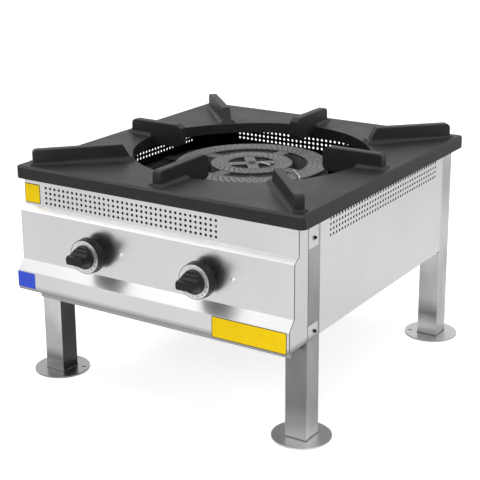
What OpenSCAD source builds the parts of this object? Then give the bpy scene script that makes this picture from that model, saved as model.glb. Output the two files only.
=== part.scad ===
// Low gas range for stock pots: a cast pan support on a folded sheet body with four tube legs,
// a double ring burner, two push-and-turn taps and a drip tray that pulls out below the front panel.
// X runs to the right, the knobs face -Y, and Z = 0 is the floor.

/* [Frame] */
// Width over the legs
frame_w = 560; // [480:5:700]
// Depth over the legs
frame_d = 560; // [480:5:700]
// Height of the leg tops, where the pan support sits
leg_h = 386; // [340:2:560]
// Side of the square leg tube
leg_w = 40; // [32:1:50]
// Wall of the leg tube
leg_wall = 2; // [1.5:0.5:4]
// Thickness of the plate that closes a leg
leg_cap_t = 3; // [2:0.5:5]
// Diameter of a foot disc
foot_d = 102; // [80:1:130]
// Thickness of a foot disc
foot_t = 3; // [2:0.5:6]
// Diameter of a fixing hole in a foot disc
foot_hole_d = 8; // [5:0.5:11]
// Diameter of the circle that the fixing holes lie on
foot_pcd = 82; // [70:1:90]
// Size of an angle rail or burner bar
rail_w = 25; // [20:1:32]
// Thickness of the rails and bars
rail_t = 3; // [2:0.5:4]

/* [Sheet body] */
// Height of the side and back panels
panel_h = 202; // [185:1:230]
// Thickness of the sheet
sheet = 1.5; // [1:0.1:2]
// Depth of the folded stiffening flanges
fold = 14; // [10:1:18]
// Drop of the panels below the leg tops
panel_drop = 3; // [2:0.5:6]
// Gap between a panel and a leg
panel_gap = 0.4; // [0.2:0.1:0.8]
// How far the perforated strip stands ahead of the legs
strip_out = 31.5; // [26:0.5:36]
// How far the knob panel stands ahead of the legs
knob_out = 45; // [40:0.5:50]
// How far the lower strip stands ahead of the legs
low_out = 60; // [55:0.5:70]
// Height of the perforated strip
strip_h = 50; // [46:1:56]
// Height of the slope above the knob panel
upper_slope_h = 8; // [5:0.5:12]
// Height of the slope below the knob panel
lower_slope_h = 17; // [12:0.5:24]
// Height of the lower strip
low_h = 36; // [28:1:44]
// Width of the lugs that lie on the legs
lug_w = 32; // [24:1:36]
// Height of an upper lug
lug_top_h = 46; // [38:1:60]
// Height of a lower lug
lug_low_h = 26; // [20:1:36]
// Diameter of a fixing hole in a lug
lug_hole_d = 5; // [4:0.5:6]

/* [Perforation] */
// Diameter of a vent hole
vent_d = 5; // [3:0.5:6]
// Spacing of the vent holes along a row
vent_pitch = 10; // [8:0.5:12]
// Spacing of the rows
row_pitch = 9.3; // [8:0.1:11]
// Number of rows
vent_rows = 4; // [2:1:4]
// Height from the top row to the panel's top edge
vent_drop = 14.5; // [10:0.5:18]
// Number of holes along a row of the front strip
front_holes = 37; // [20:1:42]
// Number of holes along a row of the other panels
side_holes = 42; // [20:1:42]
// Distance from the front strip's left end to its first hole
front_inset = 49.5; // [30:0.5:60]

/* [Pan support] */
// Overhang of the pan support beyond the legs at the sides
support_side = 16; // [12:1:30]
// Overhang at the front
support_front = 40; // [38:1:50]
// Overhang at the back
support_back = 20; // [16:1:30]
// Height of the rim
rim_h = 23; // [20:1:30]
// Thickness of the rim and of the collar round the opening
rim_t = 8; // [6:0.5:10]
// Radius of the rim's corners
rim_r = 12; // [8:1:20]
// Draft of the rim's outer face
rim_draft = 1.5; // [0.5:0.5:3]
// Rounding of the rim's top edge
rim_edge = 4; // [2:0.5:5]
// Thickness of the plate
plate_t = 9; // [7:0.5:11]
// Drop of the plate for each millimetre in from the rim
plate_fall = 0.03; // [0:0.01:0.14]
// Height of the rim's top above the leg tops
rim_rise = 18; // [16:0.5:24]
// Diameter of the opening
open_d = 440; // [400:5:460]
// Height of the fingers above the rim
finger_rise = 26; // [20:1:34]
// Thickness of a finger at its top
finger_w = 16; // [12:1:22]
// Added thickness at a finger's root
finger_draft = 3; // [1:0.5:4]
// Radius to the inner ends of the four middle fingers
finger_reach = 155; // [140:5:180]
// Distance of a middle finger's outer end from the rim's edge
finger_inset = 24; // [16:1:32]
// Distance of a corner finger's outer end from the rim's corner
corner_inset = 33; // [26:1:42]

/* [Burner] */
// Diameter of the outer ring
ring_d = 284; // [260:2:300]
// Radial width of the outer ring
ring_w = 38; // [32:1:44]
// Diameter of the inner ring
inner_d = 152; // [140:2:160]
// Radial width of the inner ring
inner_w = 32; // [26:1:36]
// Height of the ring castings without their caps
ring_h = 32; // [28:1:36]
// Wall of the castings
cast_wall = 4; // [3:0.5:5]
// Thickness of the port caps
cap_h = 5; // [4:0.5:7]
// Drop of the burner's top below the rim's top
burner_drop = 27; // [22:1:36]
// Height of the casting's feet
foot_h = 12; // [8:1:16]
// Width of the bridges between the rings
bridge_w = 22; // [16:1:28]
// Width of the arms of the centre cross
cross_w = 20; // [14:1:24]
// Turn of the bridges away from the body's axes
burner_turn = -6; // [-10:1:10]
// Number of slanted ports in each circle of the outer ring
outer_ports = 66; // [40:1:72]
// Number of slanted ports in each circle of the inner ring
inner_ports = 32; // [20:1:36]
// Outer diameter of a mixer tube
mixer_d = 30; // [26:1:34]

/* [Gas] */
// Outer diameter of the manifold and supply pipe
pipe_d = 19; // [16:0.5:22]
// Outer diameter of the pipes to the injectors
feed_d = 8; // [6:0.5:10]
// Distance between the two taps
tap_spacing = 227; // [210:1:250]
// Drop of the tap axes below the middle of the knob panel
tap_drop = 5; // [0:0.5:8]
// Diameter of a tap body
tap_d = 30; // [26:1:36]
// Diameter of a tap spindle
spindle_d = 8; // [6:0.5:10]
// Depth that a tap pushes in
push = 3; // [2:0.5:4]
// Diameter of the inlet thread
inlet_d = 20.9; // [20:0.1:22]

/* [Knobs] */
// Gap between the knob panel and a knob's skirt
knob_gap = 16; // [10:1:20]
// Diameter of the skirt at its back
skirt_d = 63; // [56:0.5:70]
// Depth of the skirt
skirt_h = 14; // [10:1:18]
// Outer diameter of the dial ring
dial_d = 58; // [50:0.5:60]
// Diameter of the hub
hub_d = 42; // [38:0.5:46]
// Height of hub and grip over the skirt
grip_h = 28; // [22:1:34]
// Thickness of the grip bar
grip_t = 14; // [10:1:18]

/* [Drip tray] */
// Drop of the tray's bottom below the panels
tray_drop = 25; // [22:0.5:30]
// Depth of the tray's pan
tray_h = 17.5; // [14:0.5:19]
// Width of the tray's front lip
lip_w = 528; // [480:2:540]
// How far the lip stands ahead of the legs
lip_out = 23; // [18:0.5:30]

/* [Hidden] */

// Finish of round shapes, and the overrun of every cut
$fn = 48;
over = 1;
// Clearance between pieces that slide or turn on each other
run_gap = 0.05;
side_gap = 0.3;

// Heights over the floor
panel_top = leg_h - panel_drop;
panel_low = panel_top - panel_h;
rim_top = leg_h + rim_rise;
finger_top = rim_top + finger_rise;
burner_top = rim_top - burner_drop;
ring_top = burner_top - cap_h;
ring_low = ring_top - ring_h;
bar_top = ring_low - foot_h;
rail_top = bar_top - rail_t;
low_top = panel_low + low_h;
knob_low = low_top + lower_slope_h;
strip_low = panel_top - strip_h;
knob_top = strip_low - upper_slope_h;
knob_mid = (knob_low + knob_top) / 2;
tap_z = knob_mid - tap_drop;
mixer_z = ring_low + ring_h / 2;
tray_low = panel_low - tray_drop;

// Planes and reaches in plan, from the middle of the legs
half_w = frame_w / 2;
half_d = frame_d / 2;
leg_x = half_w - leg_w / 2;
leg_y = half_d - leg_w / 2;
in_x = half_w - leg_w;
in_y = half_d - leg_w;
support_x = half_w + support_side;
support_y0 = -half_d - support_front;
support_y1 = half_d + support_back;
support_mid = (support_y0 + support_y1) / 2;
support_half = (support_y1 - support_y0) / 2;
knob_face = -half_d - knob_out;
knob_depth = knob_gap + skirt_h + grip_h;

// The model's origin lies under the middle of its bounding box
back_reach = max(support_y1, leg_y + foot_d / 2);
shift_y = (half_d + knob_out + knob_depth - back_reach) / 2;

// Turns of the two fixing holes in a foot disc, on the side that faces the range's middle
foot_hole_turns = [24, 93];

// Places of the gas parts
manifold_set_back = 18;
manifold_y = manifold_set_back - half_d;
manifold_boss = 11;
manifold_boss_d = 16;
tap_base = manifold_y - manifold_boss - knob_face;
outlet_d = 12;
outlet_h = 20;
outlet_back = 14;
feed_y = knob_face + tap_base - outlet_back;
feed_bend = 12;
inner_mid_r = (inner_d - inner_w) / 2;
mixer_share = 2 / 3;
mixer_x = inner_mid_r * mixer_share;
mixer_wall = 3;
mouth_set_back = 58;
mixer_mouth_y = mouth_set_back - half_d;
bell_d = 40;
bell_l = 24;
injector_l = 10;
injector_d = 17;
nozzle_l = 7;
nozzle_d = 10;
nozzle_tip_d = 5;
injector_gap = 7;
injector_y = mixer_mouth_y - injector_gap - nozzle_l - injector_l;
shutter_t = 1.2;
shutter_l = 12;
shutter_hole_d = 28;
supply_set_in = 40;
supply_x = in_x - supply_set_in;
tee_d = 27;
tee_l = 34;
inlet_flange_d = 30;
inlet_flange_t = 8;
inlet_out = 20;
inlet_neck_in = 1;
inlet_neck_out = 2;
bracket_h = 36;
bracket_d = 28;

// Tap and spindle lengths, measured back from the knob panel's face
collar_d = 18;
collar_l = 9;
collar_front = 11;
push_spare = 1;
neck_start = collar_front + collar_l + push + push_spare;
neck_wall = 3;
neck_end = 10;
spindle_back = 31;
spindle_hole_clear = 3;
spindle_grip = 14;
shoulder_d = 12;
shoulder_l = 1.8;
tap_bore_back = spindle_back + push + push_spare;

// Knob details
skirt_taper = 1.5;
skirt_wall = 3.5;
skirt_recess = 8;
knob_boss_d = 16;
dial_t = 0.8;
hub_straight = 3;
hub_shoulder = 16;
hub_top_d = 34;
groove_r = 1.5;
groove_shares = [0.32, 0.68];
stud_d = 6;
stud_rise = 2.5;
stud_out_x = 55.5;
stud_shank_d = 3;

// Share of the upper lug's height at which its fixing hole lies
lug_hole_share = 0.7;

// Pan support details
pad_w = 30;
finger_round = 8;
finger_bevel = 12;
finger_bevel_h = 7;
finger_edge = 1.5;
finger_low = leg_h;
finger_base = finger_low - plate_t;
pad_out = 9;
pad_top_out = 4;
pad_h = 3;
corner_bevel = 22;
corner_toe = 3;
finger_root = 10;
gusset_r = 12;

// Burner details
mid_r = ring_d / 2 - ring_w / 2;
foot_pad_d = 18;
bar_y = 100;
bar_drop = 20;
cap_lip = 2.5;
cap_lip_h = 1;
port_l = 6.5;
port_w = 2.5;
port_slant = 32;
outer_port_step = 9;
inner_port_step = 8;
port_circles = [-1:1];
bridge_h = 16;
cross_h = 14;
burner_hub_d = 30;

// Thermocouples: a shank stands in a lug, bends over the ring and points at the flame
probe_d = 3.5;
probe_bend_r = 6;
probe_clear = 4;
probe_lug_w = 12;
probe_lug_t = 5;
probe_lug_drop = 12;
probe_tail = 14;
outer_probe_r = mid_r + ring_w / 2 + probe_d + 2 * run_gap;
outer_probe_turn = -22;
outer_probe_swing = 24;
outer_probe_l = ring_w + 10;
inner_probe_r = 20;
inner_probe_turn = -10;
inner_probe_swing = -9;
inner_probe_l = 31;

// Drip tray and runners
runner_t = 2;
runner_ledge = 18;
runner_h = 24;
tray_rim = 17;
tray_side_gap = 2;
tray_end_gap = 5;
tray_rim_z = tray_low + tray_h;
tray_half = in_x - runner_t - tray_rim - tray_side_gap;
tray_back = in_y - tray_end_gap;
lip_h = 20.5;
lip_roll = 4;

// A rectangle with round corners about the origin
module rounded_rect(w, d, r) {
    square([w - 2 * r, d], center = true);
    square([w, d - 2 * r], center = true);
    for (x = [-1, 1], y = [-1, 1])
        translate([x * (w / 2 - r), y * (d / 2 - r)]) circle(r);
}

// A point at radius r and turn a
function polar(r, a) = r * [cos(a), sin(a)];

// Points of an arc about c
function arc(c, r, a0, a1, n = 6) = [for (i = [0:n]) c + polar(r, a0 + (a1 - a0) * i / n)];

// An outline in X and Z, drawn along Y from y0 to y1
module along_y(y0, y1) {
    translate([0, y1, 0]) rotate([90, 0, 0]) linear_extrude(y1 - y0) children();
}

// An outline in Y and Z, drawn along X from x0 to x1
module along_x(x0, x1) {
    translate([x0, 0, 0]) rotate([90, 0, 90]) linear_extrude(x1 - x0) children();
}

// A box between two corners
module span(a, b) {
    translate(a) cube(b - a);
}

// Moves a piece from the middle of the legs to the model's frame
module placed() {
    translate([0, shift_y, 0]) children();
}

// A piece for the left (-1) or right (1) side
module on_side(side) {
    if (side > 0) children();
    else mirror([1, 0, 0]) children();
}

// Rows of vent holes in a sheet, first hole at the left end of the top row
module vent_rows_2d(count) {
    for (i = [0:count - 1], j = [0:vent_rows - 1])
        translate([i * vent_pitch, -j * row_pitch]) circle(d = vent_d, $fn = 16);
}

// Legs and feet

module leg(sx, sy) {
    color("silver") placed() translate([sx * leg_x, sy * leg_y, 0]) difference() {
        span([-leg_w / 2, -leg_w / 2, foot_t], [leg_w / 2, leg_w / 2, leg_h]);
        span([leg_wall - leg_w / 2, leg_wall - leg_w / 2, foot_t - over],
            [leg_w / 2 - leg_wall, leg_w / 2 - leg_wall, leg_h - leg_cap_t]);
    }
}

module foot(sx, sy) {
    color("silver") placed() translate([sx * leg_x, sy * leg_y, 0]) difference() {
        cylinder(d = foot_d, h = foot_t);
        for (a = foot_hole_turns)
            translate([-sx * polar(foot_pcd / 2, a).x, -sy * polar(foot_pcd / 2, a).y, -over])
                cylinder(d = foot_hole_d, h = foot_t + 2 * over, $fn = 24);
    }
}

// Sheet panels

// Front line of the folded panel, moved back and in by o, closed behind its flanges by b
function front_outline(o, b) = [
    [-half_d - strip_out + fold + b, panel_top - o],
    [-half_d - strip_out + o, panel_top - o],
    [-half_d - strip_out + o, strip_low],
    [-half_d - knob_out + o, knob_top],
    [-half_d - knob_out + o, knob_low],
    [-half_d - low_out + o, low_top],
    [-half_d - low_out + o, panel_low + o],
    [-half_d - low_out + fold + b, panel_low + o]
];

// Outline of an end flange with its two lugs
function end_outline() = [
    [-half_d + lug_w, panel_top],
    [-half_d - strip_out, panel_top],
    [-half_d - strip_out, strip_low],
    [-half_d - knob_out, knob_top],
    [-half_d - knob_out, knob_low],
    [-half_d - low_out, low_top],
    [-half_d - low_out, panel_low],
    [-half_d + lug_w, panel_low],
    [-half_d + lug_w, panel_low + lug_low_h],
    [-half_d, panel_low + lug_low_h],
    [-half_d, panel_top - lug_top_h],
    [-half_d + lug_w, panel_top - lug_top_h]
];

module front_panel() {
    lug_hole_y = -half_d + lug_w / 2;
    color("gainsboro") placed() difference() {
        union() {
            along_x(-half_w, half_w) difference() {
                polygon(front_outline(0, 0));
                polygon(front_outline(sheet, over));
            }
            for (x = [-half_w - sheet, half_w])
                along_x(x, x + sheet) polygon(end_outline());
        }
        translate([-half_w - sheet + front_inset, -half_d - strip_out + sheet + over, panel_top - vent_drop])
            rotate([90, 0, 0]) linear_extrude(sheet + 2 * over) vent_rows_2d(front_holes);
        for (s = [-1, 1]) {
            translate([s * tap_spacing / 2, knob_face - over, tap_z]) rotate([-90, 0, 0])
                cylinder(d = spindle_d + 2 * spindle_hole_clear, h = sheet + 2 * over);
            translate([s * tap_spacing / 2 + stud_out_x, knob_face - over, knob_mid]) rotate([-90, 0, 0])
                cylinder(d = stud_shank_d, h = sheet + 2 * over, $fn = 24);
        }
        for (z = [panel_top - lug_top_h * lug_hole_share, panel_low + lug_low_h / 2])
            translate([-half_w - sheet - over, lug_hole_y, z]) rotate([0, 90, 0])
                cylinder(d = lug_hole_d, h = frame_w + 2 * sheet + 2 * over, $fn = 24);
    }
}

// A flat panel of width w in the plane of X and Z, its outer face at y = 0, folded in on all four edges
module flat_panel(w) {
    difference() {
        span([-w / 2, 0, panel_low], [w / 2, fold, panel_top]);
        span([sheet - w / 2, sheet, panel_low + sheet], [w / 2 - sheet, fold + over, panel_top - sheet]);
        translate([-(side_holes - 1) * vent_pitch / 2, sheet + over, panel_top - vent_drop])
            rotate([90, 0, 0]) linear_extrude(sheet + 2 * over) vent_rows_2d(side_holes);
    }
}

module side_panel(side) {
    color("gainsboro") placed() translate([side * half_w, 0, 0]) rotate(side * 90)
        flat_panel(2 * (in_y - panel_gap));
}

module back_panel() {
    color("gainsboro") placed() difference() {
        translate([0, half_d, 0]) rotate(180) flat_panel(2 * (in_x - panel_gap));
        translate([supply_x, half_d - sheet - over, tap_z]) rotate([-90, 0, 0])
            cylinder(d = inlet_d + 2 * side_gap, h = sheet + 2 * over);
    }
}

// Rails and burner bars

module rail(side) {
    reach = in_y - panel_gap - sheet;
    outer = half_w - sheet - rail_t;
    color("dimgray") placed() on_side(side) {
        span([outer - rail_t, -reach, rail_top - rail_w], [outer, reach, rail_top]);
        span([outer - rail_w, -reach, rail_top - rail_t], [outer, reach, rail_top]);
    }
}

module burner_bar(dir) {
    outer = half_w - sheet - rail_t;
    half_bar = rail_w / 2;
    color("dimgray") placed() translate([0, dir * bar_y, 0]) {
        span([-outer, -half_bar, rail_top], [outer, half_bar, bar_top]);
        span([-outer + rail_w + side_gap, -rail_t / 2, bar_top - bar_drop],
            [outer - rail_w - side_gap, rail_t / 2, rail_top]);
    }
}

// Pan support

// The region above a V that falls from both edges of a span to its middle, up to z and past the span by e
module above_v(lo, hi, edge_z, z, e) {
    mid = (lo + hi) / 2;
    rise = plate_fall * e;
    polygon([
        [lo - e, z + rise], [hi + e, z + rise], [hi + e, edge_z + rise],
        [mid, edge_z - plate_fall * (hi - lo) / 2], [lo - e, edge_z + rise]
    ]);
}

// The space above the plate's four sloping faces, whose edges lie at edge_z
module above_plate(edge_z, e) {
    half = support_x - rim_t;
    y0 = support_y0 + rim_t;
    y1 = support_y1 - rim_t;
    intersection() {
        along_y(y0 - e, y1 + e) above_v(-half, half, edge_z, rim_top + over, e);
        along_x(-half - e, half + e) above_v(y0, y1, edge_z, rim_top + over, e);
    }
}

// The hollow inside the rim and under the plate, around the opening's collar and the pads on the legs
module under_plate() {
    difference() {
        span([rim_t - support_x, support_y0 + rim_t, rim_top - rim_h - over],
            [support_x - rim_t, support_y1 - rim_t, rim_top - plate_t + over]);
        above_plate(rim_top - plate_t, rim_t);
        translate([0, 0, rim_top - rim_h - 2 * over])
            cylinder(d = open_d + 2 * rim_t, h = rim_h + 3 * over, $fn = 96);
        for (x = [-leg_x, leg_x], y = [-leg_y, leg_y])
            translate([x - pad_w / 2, y - pad_w / 2, leg_h]) cube([pad_w, pad_w, rim_h]);
    }
}

// Outline of the rim with its draft and its chamfered top edge, between lo and hi
module rim_outline(lo, hi) {
    low = rim_top - rim_h;
    shoulder = rim_top - rim_edge;
    polygon([
        [lo, low], [hi, low],
        [hi - rim_draft, shoulder], [hi - rim_draft - rim_edge, rim_top],
        [lo + rim_draft + rim_edge, rim_top], [lo + rim_draft, shoulder]
    ]);
}

// Height of the middle of the plate's thickness at radius r and turn a
function plate_mid(r, a) =
    let (p = polar(r, a), to_side = support_x - abs(p.x), to_end = min(support_y1 - p.y, p.y - support_y0))
    rim_top - plate_t / 2 - plate_fall * (min(to_side, to_end) - rim_t);

// Side of a finger at turn a that ends at radius r1, with the tip that reaches over the opening
module middle_finger_side(a, r1) {
    root = open_d / 2 + finger_root;
    polygon(concat(
        [[r1, plate_mid(r1, a)]],
        arc([r1 - finger_round, finger_top - finger_round], finger_round, 0, 90),
        [[finger_reach + finger_bevel, finger_top], [finger_reach, finger_top - finger_bevel_h]],
        arc([finger_reach + gusset_r, finger_low + gusset_r], gusset_r, 180, 270),
        [[root, finger_low], [root, plate_mid(root, a)]]
    ));
}

module corner_finger_side(a, r1) {
    r0 = open_d / 2;
    toe = r0 + corner_toe;
    polygon(concat(
        [[r1, plate_mid(r1, a)]],
        arc([r1 - finger_round, finger_top - finger_round], finger_round, 0, 90),
        [[r0 + corner_bevel, finger_top], [toe, plate_mid(toe, a)]]
    ));
}

// Cross-section of a finger
module finger_section() {
    root = finger_w / 2 + finger_draft / 2;
    top = finger_w / 2;
    polygon([
        [-root, finger_base], [root, finger_base],
        [top, finger_top - finger_edge], [top - finger_edge, finger_top],
        [finger_edge - top, finger_top], [-top, finger_top - finger_edge]
    ]);
}

// The low pad that a finger stands on, from the opening to a little past the finger's outer end
module finger_pad(r1) {
    low = rim_top - plate_t / 2;
    high = rim_top + pad_h;
    half = finger_w / 2;
    slant = pad_out - pad_top_out;
    intersection() {
        along_x(0, r1 + pad_out + over) polygon([
            [-half - pad_out, low], [half + pad_out, low],
            [half + pad_top_out, high], [-half - pad_top_out, high]
        ]);
        along_y(-half - pad_out - over, half + pad_out + over) polygon([
            [open_d / 2, low], [r1 + pad_out, low],
            [r1 + pad_out - slant, high], [open_d / 2 + slant, high]
        ]);
    }
}

module finger(angle, r1, corner) {
    rotate(angle) {
        intersection() {
            along_y(-finger_w, finger_w)
                if (corner) corner_finger_side(angle, r1);
                else middle_finger_side(angle, r1);
            along_x(0, r1 + over) finger_section();
        }
        finger_pad(r1);
    }
}

module pan_support() {
    low = rim_top - rim_h;
    color("#38383a") placed() {
        difference() {
            intersection() {
                translate([0, support_mid, low])
                    linear_extrude(rim_h) rounded_rect(2 * support_x, 2 * support_half, rim_r);
                along_y(support_y0 - over, support_y1 + over) rim_outline(-support_x, support_x);
                along_x(-support_x - over, support_x + over) rim_outline(support_y0, support_y1);
            }
            above_plate(rim_top, 0);
            under_plate();
            translate([0, 0, low - over]) cylinder(d = open_d, h = rim_h + 2 * over, $fn = 96);
        }
        finger(0, support_x - finger_inset, false);
        finger(180, support_x - finger_inset, false);
        finger(90, support_y1 - finger_inset, false);
        finger(270, -support_y0 - finger_inset, false);
        for (x = [-1, 1], y = [support_y0, support_y1])
            finger(atan2(y, x * support_x), norm([support_x, y]) - corner_inset, true);
    }
}

// Burner

// A channel open at the top, between two radii
module channel(r0, r1) {
    rotate_extrude($fn = 96) difference() {
        translate([r0, ring_low]) square([r1 - r0, ring_h]);
        translate([r0 + cast_wall, ring_low + cast_wall]) square([r1 - r0 - 2 * cast_wall, ring_h]);
    }
}

module mixer(side, reach) {
    translate([side * mixer_x, mixer_mouth_y, mixer_z]) rotate([-90, 0, 0]) {
        cylinder(d1 = bell_d, d2 = mixer_d, h = bell_l);
        cylinder(d = mixer_d, h = reach - mixer_mouth_y);
    }
}

module mixer_bore(side, reach) {
    translate([side * mixer_x, mixer_mouth_y - over, mixer_z]) rotate([-90, 0, 0]) {
        cylinder(d1 = bell_d - 2 * mixer_wall, d2 = mixer_d - 2 * mixer_wall, h = bell_l);
        cylinder(d = mixer_d - 2 * mixer_wall, h = reach - mixer_mouth_y);
    }
}

// A lug with a hole for a thermocouple's shank, from radius r0 to past the shank at radius r
module probe_lug(r0, r) {
    top = ring_top - probe_lug_drop;
    span([r0, -probe_lug_w / 2, top - probe_lug_t], [r + probe_lug_w / 2, probe_lug_w / 2, top]);
}

module probe_hole(r) {
    translate([r, 0, ring_low]) cylinder(d = probe_d, h = ring_h, $fn = 24);
}

// A bridge between the rings, raised between their caps
module bridge() {
    r0 = inner_d / 2;
    r1 = ring_d / 2 - ring_w;
    span([r0 - cast_wall, -bridge_w / 2, ring_top - bridge_h], [r1 + cast_wall, bridge_w / 2, ring_top]);
    intersection() {
        span([0, -bridge_w / 2, ring_top - over], [r1, bridge_w / 2, burner_top - cap_lip_h]);
        difference() {
            cylinder(r = r1 - side_gap, h = burner_top, $fn = 96);
            translate([0, 0, -over]) cylinder(r = r0 + side_gap, h = burner_top + 2 * over, $fn = 96);
        }
    }
}

module burner_casting() {
    outer_r = ring_d / 2;
    outer_in = outer_r - ring_w;
    inner_r = inner_d / 2;
    inner_in = inner_r - inner_w;
    outer_reach = -sqrt(pow(mid_r, 2) - pow(mixer_x, 2));
    inner_reach = -sqrt(pow(inner_mid_r, 2) - pow(mixer_x, 2));
    foot_x = sqrt(pow(mid_r, 2) - pow(bar_y, 2));
    color("slategray") placed() difference() {
        union() {
            channel(outer_in, outer_r);
            channel(inner_in, inner_r);
            for (a = [0:90:270])
                rotate(burner_turn + a) bridge();
            for (a = [45, 135])
                rotate(burner_turn + a)
                    span([-inner_in - cast_wall, -cross_w / 2, ring_top - cross_h],
                        [inner_in + cast_wall, cross_w / 2, ring_top]);
            mixer(-1, outer_reach);
            mixer(1, inner_reach);
            for (x = [-foot_x, foot_x], y = [-bar_y, bar_y])
                translate([x, y, bar_top]) cylinder(d = foot_pad_d, h = foot_h + over);
            rotate(outer_probe_turn) probe_lug(outer_r - cast_wall / 2, outer_probe_r);
            rotate(inner_probe_turn) probe_lug(0, inner_probe_r);
        }
        rotate(outer_probe_turn) probe_hole(outer_probe_r);
        rotate(inner_probe_turn) probe_hole(inner_probe_r);
        mixer_bore(-1, outer_reach);
        mixer_bore(1, inner_reach);
    }
}

// A cap between two radii with a raised lip along both edges
module cap_blank(r0, r1) {
    rotate_extrude($fn = 96) polygon([
        [r0, ring_top], [r1, ring_top], [r1, burner_top],
        [r1 - cap_lip, burner_top], [r1 - cap_lip - cap_lip_h, burner_top - cap_lip_h],
        [r0 + cap_lip + cap_lip_h, burner_top - cap_lip_h], [r0 + cap_lip, burner_top], [r0, burner_top]
    ]);
}

// Circles of slanted ports round radius r, each circle turned by half a pitch from the next
module ports(r, count, step) {
    for (k = port_circles, i = [0:count - 1])
        rotate((i + k / 2) * 360 / count) translate([r + k * step, 0, ring_top - over]) rotate(port_slant)
            span([-port_l / 2, -port_w / 2, 0], [port_l / 2, port_w / 2, cap_h + 2 * over]);
}

module outer_port_cap() {
    color("slategray") placed() difference() {
        cap_blank(ring_d / 2 - ring_w, ring_d / 2);
        ports(mid_r, outer_ports, outer_port_step);
    }
}

// The inner cap carries a flat cross and hub over the casting's cross
module inner_port_cap() {
    r1 = inner_d / 2;
    r0 = r1 - inner_w;
    top = burner_top - cap_lip_h;
    color("slategray") placed() {
        difference() {
            cap_blank(r0, r1);
            ports(inner_mid_r, inner_ports, inner_port_step);
        }
        intersection() {
            for (a = [45, 135])
                rotate(burner_turn + a)
                    span([-r1, -cross_w / 2, ring_top], [r1, cross_w / 2, top]);
            cylinder(r = r0 + cap_lip / 2, h = top);
        }
        translate([0, 0, ring_top]) cylinder(d = burner_hub_d, h = top - ring_top);
    }
}

// A rod from p to q
module rod(p, q, d) {
    v = q - p;
    translate(p) rotate([0, acos(v.z / norm(v)), atan2(v.y, v.x)]) cylinder(d = d, h = norm(v), $fn = 24);
}

module air_shutter(side) {
    color("gainsboro") placed()
        translate([side * mixer_x, mixer_mouth_y - shutter_t, mixer_z]) rotate([-90, 0, 0]) difference() {
            cylinder(d = bell_d + 2 * shutter_t, h = shutter_l);
            translate([0, 0, shutter_t]) cylinder(d = bell_d, h = shutter_l);
            translate([0, 0, -over]) cylinder(d = shutter_hole_d, h = shutter_l);
        }
}

module injector(side) {
    color("goldenrod") placed() translate([side * mixer_x, injector_y, mixer_z]) rotate([-90, 0, 0]) {
        cylinder(d = injector_d, h = injector_l, $fn = 6);
        translate([0, 0, injector_l]) cylinder(d1 = nozzle_d, d2 = nozzle_tip_d, h = nozzle_l);
    }
}

// A quarter bend from direction u to direction v at corner p
module bend(p, u, v, d, r) {
    w = cross(u, v);
    c = p + (v - u) * r;
    multmatrix([
        [-v.x, u.x, -w.x, c.x],
        [-v.y, u.y, -w.y, c.y],
        [-v.z, u.z, -w.z, c.z],
        [0, 0, 0, 1]
    ]) rotate_extrude(angle = 90) translate([r, 0]) circle(d = d);
}

module feed_pipe(side) {
    tap_x = tap_spacing / 2;
    p0 = [tap_x, feed_y, tap_z + outlet_h];
    p1 = [tap_x, feed_y, mixer_z];
    p2 = [mixer_x, feed_y, mixer_z];
    p3 = [mixer_x, injector_y, mixer_z];
    up = [0, 0, 1];
    inward = [-1, 0, 0];
    back = [0, 1, 0];
    color("silver") placed() on_side(side) {
        rod(p0, p1 - feed_bend * up, feed_d);
        bend(p1, up, inward, feed_d, feed_bend);
        rod(p1 + feed_bend * inward, p2 - feed_bend * inward, feed_d);
        bend(p2, inward, back, feed_d, feed_bend);
        rod(p2 + feed_bend * back, p3, feed_d);
    }
}

// Gas train

module manifold() {
    reach = in_x - rail_t;
    color("darkkhaki") placed() {
        translate([-reach, manifold_y, tap_z]) rotate([0, 90, 0]) cylinder(d = pipe_d, h = 2 * reach);
        for (s = [-1, 1])
            translate([s * tap_spacing / 2, manifold_y, tap_z]) rotate([90, 0, 0])
                cylinder(d = manifold_boss_d, h = manifold_boss);
        translate([supply_x - tee_l / 2, manifold_y, tap_z]) rotate([0, 90, 0])
            cylinder(d = tee_d, h = tee_l);
        translate([supply_x, manifold_y, tap_z]) rotate([-90, 0, 0]) cylinder(d = tee_d, h = tee_l / 2);
    }
}

module manifold_bracket(side) {
    color("dimgray") placed() on_side(side)
        span([in_x - rail_t, manifold_y - bracket_d / 2, tap_z - bracket_h / 2],
            [in_x, manifold_y + bracket_d / 2, tap_z + bracket_h / 2]);
}

module supply_pipe() {
    y0 = manifold_y + tee_l / 2;
    y1 = half_d - sheet - inlet_flange_t;
    color("darkkhaki") placed() translate([supply_x, y0, tap_z]) rotate([-90, 0, 0])
        cylinder(d = pipe_d, h = y1 - y0);
}

// A hexagon flange behind the back panel, a neck through the panel and the thread outside it
module gas_inlet() {
    bore = inlet_d - 2 * cast_wall;
    flange_y = half_d - sheet - inlet_flange_t;
    thread_start = inlet_flange_t + sheet + inlet_neck_out;
    color("goldenrod") placed() translate([supply_x, flange_y, tap_z]) rotate([-90, 0, 0])
        difference() {
            union() {
                cylinder(d = inlet_flange_d, h = inlet_flange_t, $fn = 6);
                cylinder(d = inlet_d - 2 * inlet_neck_in, h = thread_start + over);
                translate([0, 0, thread_start]) cylinder(d = inlet_d, h = inlet_out - inlet_neck_out);
            }
            translate([0, 0, inlet_flange_t]) cylinder(d = bore, h = sheet + inlet_out + over);
        }
}

// Puts a piece drawn along Z on a tap's axis, with Z = 0 at the knob panel's face and Z out towards the cook
module on_tap(side) {
    placed() translate([side * tap_spacing / 2, knob_face, tap_z]) rotate([90, 0, 0]) children();
}

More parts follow.
